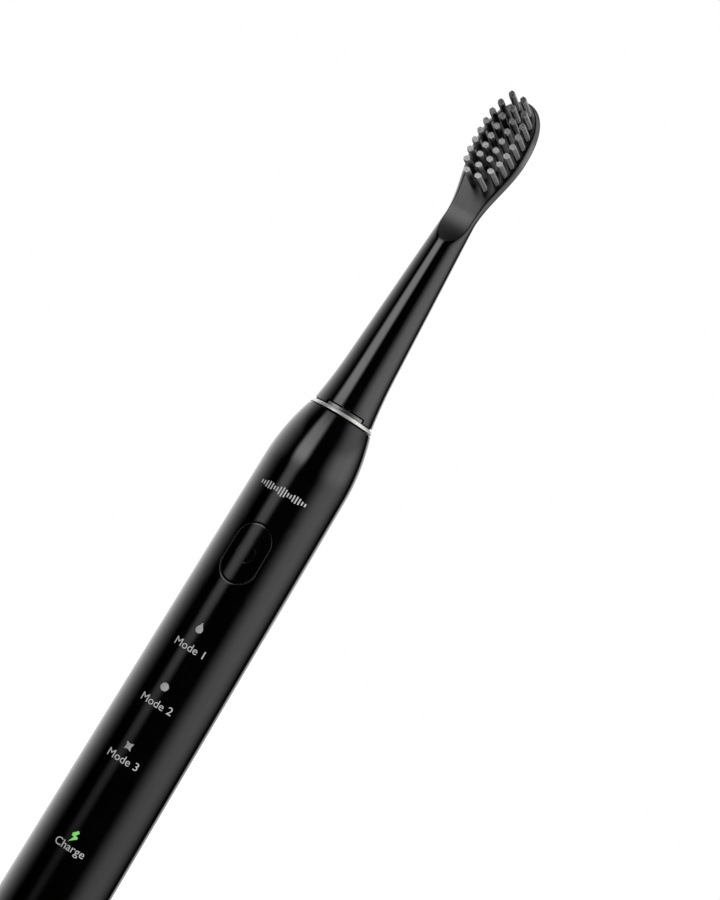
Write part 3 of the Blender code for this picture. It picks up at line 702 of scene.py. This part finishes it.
def make_head(finish, satin, rubber):
    """The head with its socket and notch, and the dull lip that hides the gap over the ring."""
    head = loft_head(finish, satin)
    low = HEAD_BOTTOM - 2
    skirt, top = RING_MIDDLE + SKIRT_DEPTH, RING_MIDDLE + SOCKET_DEPTH
    socket = [(0.01, top), (SOCKET_RADIUS, top), (SOCKET_RADIUS, skirt), (SKIRT_BORE, skirt),
              (SKIRT_BORE, low), (0.01, low)]
    cut(head, revolve("socket_tool", socket, None, 64))
    roof = LUG_TOP + GAP
    notch = [(2 * SKIRT_RADIUS, roof), (2 * SKIRT_RADIUS, low), (SKIRT_BORE - 1, low),
             (SKIRT_BORE - 1, roof)]
    middle, half = LUG_TURN - 90, LUG_ANGLE + SWING
    cut(head, revolve("notch_tool", notch, None, 40, middle - half, middle + half))
    tidy(head, 30)
    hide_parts("head_shell")
    outer, inner = SKIRT_RADIUS - LIP_INSET, SKIRT_BORE + GAP
    root, foot = HEAD_BOTTOM + 0.2, RING_TOP + LIP_CLEARANCE
    lip = [(outer, root), (outer, foot), (inner, foot), (inner, root)]
    band = revolve("skirt_lip", lip, rubber, 96, middle + half, middle + 360 - half)
    for piece in (head, band):
        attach(piece, "brush_head")


# ---------------------------------------------------------------- tufts

def trim_depth(z):
    """Where the hollow trim cuts the bristles, forward of the axis."""
    share = (z - RING_MIDDLE - TRIM_MIDDLE) / TRIM_SPAN
    return -FACE_DEPTH - TUFT_SHORT - (TUFT_LONG - TUFT_SHORT) * min(1.2, abs(share)) ** 2


def packed_circle(radius, pitch):
    """Centres of filaments packed in rows at 60 degrees inside a circle."""
    reach = int(radius / pitch) + 2
    for row in range(-reach, reach + 1):
        for column in range(-reach, reach + 1):
            u = pitch * (column + 0.5 * (row % 2))
            v = pitch * row * sqrt(3) / 2
            if hypot(u, v) <= radius - FILAMENT_RADIUS + 0.01:
                yield u, v


def make_tuft(node, finish, chance):
    """One tuft as a packed bundle of round filaments, cut along the trim's curve."""
    low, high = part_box(node)
    cx, cz = (low.x + high.x) / 2 / MM, (low.z + high.z) / 2 / MM
    sides, root = FILAMENT_SIDES, FILAMENT_ROOT - FACE_DEPTH
    points, faces, tones, ends = [], [], [], []
    for u, v in packed_circle(TUFT_RADIUS, 2 * FILAMENT_RADIUS):
        lean = (chance.uniform(-0.02, 0.02) + 0.04 * u, chance.uniform(-0.02, 0.02) + 0.04 * v)
        cut_back = chance.uniform(0.0, 0.05)
        tone = chance.random()
        spin = chance.uniform(0, pi)
        first = len(points)
        for share, scale in ((0.0, 1.0), (0.985, 1.0), (1.0, FILAMENT_TIP)):
            for k in range(sides):
                turn = spin + 2 * pi * k / sides
                x = cx + u + lean[0] * share + scale * FILAMENT_RADIUS * cos(turn)
                z = cz + v + lean[1] * share + scale * FILAMENT_RADIUS * sin(turn)
                points.append((x, root + (trim_depth(z) + cut_back - root) * share, z))
                tones.append(tone)
                ends.append(1.0 if share == 1.0 else 0.0)
        for ring in range(2):
            for k in range(sides):
                a = first + ring * sides
                n = (k + 1) % sides
                faces.append((a + k, a + n, a + sides + n, a + sides + k))
        faces.append(tuple(first + 2 * sides + k for k in range(sides)))
        faces.append(tuple(first + k for k in reversed(range(sides))))
    mesh = bpy.data.meshes.new(node + "_filaments")
    mesh.from_pydata([Vector(p) * MM for p in points], [], faces)
    for name, values in (("tone", tones), ("cut_end", ends)):
        mesh.attributes.new(name, "FLOAT", "POINT").data.foreach_set("value", values)
    mesh.materials.append(finish)
    thing = bpy.data.objects.new(node + "_filaments", mesh)
    bpy.context.scene.collection.objects.link(thing)
    shape = bmesh.new()
    shape.from_mesh(mesh)
    bmesh.ops.recalc_face_normals(shape, faces=shape.faces)
    shape.to_mesh(mesh)
    shape.free()
    mesh.shade_smooth()
    mesh.set_sharp_from_angle(angle=radians(55))
    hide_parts(node)
    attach(thing, "brush_head")


# ---------------------------------------------------------------- printed marks

def print_mark(name, thing, below, finish, shift=0.0, body="handle"):
    """A flat curve or text laid on the handle's front as a thin printed film."""
    bpy.context.view_layer.update()
    graph = bpy.context.evaluated_depsgraph_get()
    mesh = bpy.data.meshes.new_from_object(thing.evaluated_get(graph))
    bpy.data.objects.remove(thing, do_unlink=True)
    shape = bmesh.new()
    shape.from_mesh(mesh)
    bmesh.ops.remove_doubles(shape, verts=shape.verts, dist=0.002)
    for _ in range(3):
        long = [e for e in shape.edges if e.calc_length() > PRINT_STEP]
        bmesh.ops.subdivide_edges(shape, edges=long, cuts=1)
    bmesh.ops.triangulate(shape, faces=shape.faces)
    for vertex in shape.verts:
        x, z = vertex.co.x + shift, RING_MIDDLE - below + vertex.co.y
        vertex.co = Vector(on_handle(x, z, PRINT_LIFT)) * MM
    for face in shape.faces:
        if face.normal.y > 0:
            face.normal_flip()
    shape.to_mesh(mesh)
    shape.free()
    mesh.materials.clear()
    mesh.materials.append(finish)
    made = bpy.data.objects.new(name, mesh)
    bpy.context.scene.collection.objects.link(made)
    made.data.shade_smooth()
    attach(made, body)
    return made


def flat_shape(name, loops):
    """A filled 2D curve from closed loops of points."""
    curve = bpy.data.curves.new(name, "CURVE")
    curve.dimensions = "2D"
    curve.fill_mode = "BOTH"
    for loop in loops:
        spline = curve.splines.new("POLY")
        spline.points.add(len(loop) - 1)
        for point, (x, y) in zip(spline.points, loop):
            point.co = (x, y, 0, 1)
        spline.use_cyclic_u = True
    thing = bpy.data.objects.new(name, curve)
    bpy.context.scene.collection.objects.link(thing)
    return thing


def flat_text(name, words, size):
    text = bpy.data.curves.new(name, "FONT")
    text.body = words
    text.size = size
    text.align_x, text.align_y = "CENTER", "CENTER"
    text.resolution_u = 4
    thing = bpy.data.objects.new(name, text)
    bpy.context.scene.collection.objects.link(thing)
    return thing


def disc(radius, centre=(0, 0), count=40):
    return round_corner(centre, radius, 0, 360 - 360 / count, count - 1)


def drop_outline():
    """A round drop whose sides run up to a point."""
    lower = round_corner((0, -0.32), 0.90, 155, 385, 30)
    return lower + [(0.31, 0.86), (0, 1.5), (-0.31, 0.86)]


def star_outline():
    """Four points on the diagonals, with hollow sides."""
    points = []
    for corner in range(4):
        turn = radians(45 + 90 * corner)
        points.append((1.35 * cos(turn), 1.35 * sin(turn)))
        side = turn + pi / 4
        for offset, reach in ((-0.42, 0.82), (0, 0.67), (0.42, 0.82)):
            points.append((reach * cos(side + offset), reach * sin(side + offset)))
    return points


BOLT = [(0.35, 1.62), (-0.78, 0.55), (-0.62, -0.05), (-0.02, -0.12), (-0.72, -1.62),
        (0.98, -0.30), (0.90, 0.18), (0.22, 0.30), (0.80, 1.12)]


def wave_bars():
    """A row of upright bars whose heights swell and fall, in place of any name."""
    bars, pitch, half = [], 0.74, 0.17
    for i in range(-8, 9):
        tall = 0.28 + 0.92 * abs(cos(i * 0.62)) * (1 - 0.055 * abs(i))
        x = i * pitch
        bars.append([(x - half, -tall), (x + half, -tall), (x + half, tall), (x - half, tall)])
    return bars


def make_prints(finishes):
    grey, label = finishes["print"], finishes["label"]
    print_mark("front_mark", flat_shape("mark", wave_bars()), MARK_BELOW, label)
    print_mark("icon_drop", flat_shape("drop", [drop_outline()]), DROP_BELOW, grey)
    print_mark("icon_dot", flat_shape("dot", [disc(1.03)]), DOT_BELOW, grey)
    print_mark("icon_star", flat_shape("star", [star_outline()]), STAR_BELOW, grey)
    print_mark("icon_bolt", flat_shape("bolt", [BOLT]), BOLT_BELOW, finishes["green"])
    marks = (DROP_BELOW, DOT_BELOW, STAR_BELOW, BOLT_BELOW)
    for words, mark, drop in zip(("Mode 1", "Mode 2", "Mode 3", "Charge"), marks, LABEL_DROPS):
        name = "label_" + words.lower().replace(" ", "_")
        print_mark(name, flat_text(name, words, LABEL_SIZE), mark + drop, label, LABEL_SHIFT)


def make_power_sign(finish):
    """The power sign, pressed in on the real button, here a thin film laid on it: an open ring with
    an upright bar.
    """
    start, end = 90 + SIGN_OPENING, 450 - SIGN_OPENING
    ring = round_corner((0, 0), SIGN_OUTER, start, end, 40)
    ring += round_corner((0, 0), SIGN_OUTER - SIGN_LINE, end, start, 40)
    bar = [(-0.17, 0.6), (0.17, 0.6), (0.17, 3.3), (-0.17, 3.3)]
    below = RING_MIDDLE - BUTTON_MIDDLE
    print_mark("power_sign", flat_shape("sign", [ring, bar]), below, finish,
               body="button")


# ---------------------------------------------------------------- pieces kept from the CAD

def finish_cad(finishes):
    """Better materials on the inner pieces, by the record's slots."""
    made = {
        "rubber": finishes["rubber"], "steel": finishes["steel"],
        "magnet": brushed("magnet_plate", (0.2, 0.2, 0.22), (0.3, 0.3, 0.32), (0.3, 0.4), (1, 1, 1)),
        "copper": brushed("wound_copper", (0.55, 0.24, 0.10), (0.80, 0.42, 0.22), (0.3, 0.42),
                          (0.02, 0.02, 3)),
        "bronze": brushed("sintered_bronze", (0.45, 0.30, 0.14), (0.6, 0.42, 0.2), (0.35, 0.5),
                          (1, 1, 1)),
        "nickel": brushed("nickel_strip", (0.5, 0.48, 0.44), (0.66, 0.64, 0.6), (0.25, 0.35),
                          (0.1, 1, 1)),
        "frame_plastic": plastic("frame_moulding", (0.5, 0.5, 0.48), (0.58, 0.58, 0.56),
                                 (0.45, 0.6))[0],
        "board": plastic("solder_mask", (0.012, 0.12, 0.04), (0.03, 0.2, 0.08), (0.3, 0.45))[0],
        "battery_wrap": plastic("battery_film", (0.02, 0.09, 0.25), (0.04, 0.15, 0.36),
                                (0.25, 0.4))[0],
        "light_guide": plastic("guide_frost", (0.7, 0.72, 0.7), (0.85, 0.87, 0.85), (0.15, 0.3))[0],
    }
    for part in frame["record"]["subparts"]:
        if part["material_slot"] in made:
            thing = frame["nodes"][part["node"]]
            thing.data.materials.clear()
            thing.data.materials.append(made[part["material_slot"]])


# ---------------------------------------------------------------- stage, light and camera

def stage_material():
    made, tree, shader = new_material("pale_floor")
    tone = shades(tree, noise(tree, 3.0), (0.84, 0.84, 0.84), (0.88, 0.88, 0.88))
    link(tree, tone, shader.inputs["Base Color"])
    shader.inputs["Roughness"].default_value = 0.9
    shader.inputs["Emission Color"].default_value = (1, 1, 1, 1)
    shader.inputs["Emission Strength"].default_value = 0.95
    return made


def make_floor():
    """A glowing pale floor that shows in no reflection and lights nothing."""
    side = 6000.0
    points = [(-side, -side, -0.05), (side, -side, -0.05), (side, side, -0.05), (-side, side, -0.05)]
    floor = mesh_object("floor", points, [(0, 1, 2, 3)], stage_material())
    floor.visible_glossy = False
    floor.visible_diffuse = False


class WorldMaths:
    """Small helpers that write the studio's light as a function of direction, in degrees."""

    def __init__(self, tree):
        self.tree = tree

    def op(self, kind, a, b=0.0):
        node = self.tree.nodes.new("ShaderNodeMath")
        node.operation = kind
        for socket, value in zip(node.inputs, (a, b)):
            if isinstance(value, (int, float)):
                socket.default_value = value
            else:
                self.tree.links.new(value, socket)
        return node.outputs[0]

    def dot(self, vector, other):
        node = self.tree.nodes.new("ShaderNodeVectorMath")
        node.operation = "DOT_PRODUCT"
        self.tree.links.new(vector, node.inputs[0])
        node.inputs[1].default_value = other
        return node.outputs["Value"]

    def ramp(self, value, low, high, start=0.0, end=1.0):
        node = self.tree.nodes.new("ShaderNodeMapRange")
        node.interpolation_type = "SMOOTHSTEP"
        for key, number in (("From Min", low), ("From Max", high), ("To Min", start),
                            ("To Max", end)):
            node.inputs[key].default_value = number
        self.tree.links.new(value, node.inputs["Value"])
        return node.outputs["Result"]


def make_world():
    """A dark studio with soft panels: left wrap, high strip, broad right panel, back light."""
    world = bpy.data.worlds.new("studio")
    bpy.context.scene.world = world
    world.use_nodes = True
    tree = world.node_tree
    w = WorldMaths(tree)
    direction = tree.nodes.new("ShaderNodeTexCoord").outputs["Generated"]
    turn = radians(CAMERA_TURN)
    right = w.dot(direction, (cos(turn), sin(turn), 0))
    near = w.dot(direction, (sin(turn), -cos(turn), 0))
    up = w.dot(direction, (0, 0, 1))
    around = w.op("MULTIPLY", w.op("ARCTAN2", right, near), 180 / pi)
    rise = w.op("MULTIPLY", w.op("ARCSINE", up), 180 / pi)
    # The left wrap's near edge wanders a little with height.
    wrap_shift = w.op("SUBTRACT", w.ramp(rise, 3, 9, 0, 8), w.ramp(rise, 18, 24, 0, 11))
    left_wrap = w.ramp(w.op("SUBTRACT", around, wrap_shift), WRAP_FAR, WRAP_NEAR, WRAP_LIGHT, 0.0)
    back = w.ramp(around, BACK_START, BACK_FULL)
    # The right panel is brightest a little above the horizon, and its near edge wanders.
    panel_gain = w.op("ADD", w.ramp(rise, -8, 4, 1.1, 1.55), w.ramp(rise, 4, 10, 0, 0.65))
    panel_gain = w.op("SUBTRACT", panel_gain, w.ramp(rise, 17, 24, 0, 0.85))
    panel_shift = w.op("SUBTRACT", w.ramp(rise, 0, 12, 0, 6), w.ramp(rise, 20, 26, 0, 3.5))
    panel_start = w.op("ADD", around, panel_shift)
    panel_fall = w.ramp(around, PANEL_FALL, PANEL_END, 1, 0)
    panel = w.op("MULTIPLY", w.ramp(panel_start, PANEL_START, PANEL_FULL), panel_fall)
    panel = w.op("MULTIPLY", panel, panel_gain)
    # The strip widens and brightens upwards, then fades.
    lean = w.op("ADD", around, -STRIP_AT)
    inside = w.op("SUBTRACT", w.ramp(rise, -4, 13, 9, 17.5), w.op("ABSOLUTE", lean))
    gain = w.op("ADD", w.ramp(rise, -7, 5, 0.12, 1.5), w.ramp(rise, 5, 12, 0, 2.6))
    gain = w.op("MULTIPLY", gain, w.ramp(rise, 14, 24, 1.0, 0.8))
    gain = w.op("MULTIPLY", gain, w.ramp(rise, 24, 46, 1.0, 0.12))
    strip = w.op("MULTIPLY", w.ramp(inside, *STRIP_SOFT), gain)
    total = w.op("ADD", w.op("ADD", left_wrap, back), w.op("ADD", panel, strip))
    # The camera sees plain white, and matt surfaces get only a part of the light.
    light = tree.nodes["Background"]
    path = tree.nodes.new("ShaderNodeLightPath")
    soft = w.op("SUBTRACT", 1.0, w.op("MULTIPLY", path.outputs["Is Diffuse Ray"], SHADE))
    tree.links.new(w.op("MULTIPLY", total, soft), light.inputs["Strength"])
    light.inputs["Color"].default_value = (1, 1, 1, 1)
    white = tree.nodes.new("ShaderNodeBackground")
    white.inputs["Strength"].default_value = 1.0
    white.inputs["Color"].default_value = (1, 1, 1, 1)
    mix = tree.nodes.new("ShaderNodeMixShader")
    tree.links.new(path.outputs["Is Camera Ray"], mix.inputs[0])
    tree.links.new(light.outputs[0], mix.inputs[1])
    tree.links.new(white.outputs[0], mix.inputs[2])
    tree.links.new(mix.outputs[0], tree.nodes["World Output"].inputs["Surface"])


def make_key_light():
    """A soft lamp at the upper right, which lights the bristles but shows in no reflection."""
    lamp = bpy.data.lights.new("key", "AREA")
    lamp.shape = "DISK"
    lamp.size = LAMP_SIZE
    lamp.energy = LAMP_POWER
    thing = bpy.data.objects.new("key", lamp)
    bpy.context.scene.collection.objects.link(thing)
    target = Vector((0, 0, HEAD_TOP * MM))
    thing.location = target + Vector(LAMP_PLACE)
    thing.rotation_euler = (target - thing.location).to_track_quat("-Z", "Y").to_euler()
    thing.visible_glossy = False


def make_camera():
    """The photo's view: a long lens, turned to the right of the front and rolled."""
    camera = bpy.data.cameras.new("camera")
    camera.lens = CAMERA_LENS
    camera.sensor_width = 36.0
    camera.clip_start, camera.clip_end = 0.05, 50.0
    thing = bpy.data.objects.new("camera", camera)
    bpy.context.scene.collection.objects.link(thing)
    turn, tilt = radians(CAMERA_TURN), radians(CAMERA_TILT)
    right = Vector((cos(turn), sin(turn), 0))
    back = Vector((sin(turn) * cos(tilt), -cos(turn) * cos(tilt), sin(tilt)))
    aim = Vector((0, 0, RING_MIDDLE - AIM_DOWN)) + right * AIM_RIGHT
    up = back.cross(right)
    basis = Matrix((right, up, back)).transposed()
    place = basis.to_4x4() @ Matrix.Rotation(radians(CAMERA_ROLL), 4, "Z")
    place.translation = (aim + back * CAMERA_DISTANCE) * MM
    thing.matrix_world = place
    bpy.context.scene.camera = thing


# ---------------------------------------------------------------- everything

def build():
    make_camera()
    finishes = make_materials()
    finish_cad(finishes)
    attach(make_handle(finishes["black"]), "handle")
    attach(make_cap(finishes["black"]), "handle")
    make_ring(finishes["ring"], finishes["lug"])
    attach(make_button(finishes["black"]), "button")
    make_head(finishes["head"], finishes["satin"], finishes["rubber"])
    chance = random.Random(7)
    for node in TUFTS:
        make_tuft(node, finishes["bristle"], chance)
    make_prints(finishes)
    make_power_sign(finishes["sign"])
    make_floor()
    make_world()
    make_key_light()
    bpy.context.scene.view_settings.view_transform = "Standard"


build()
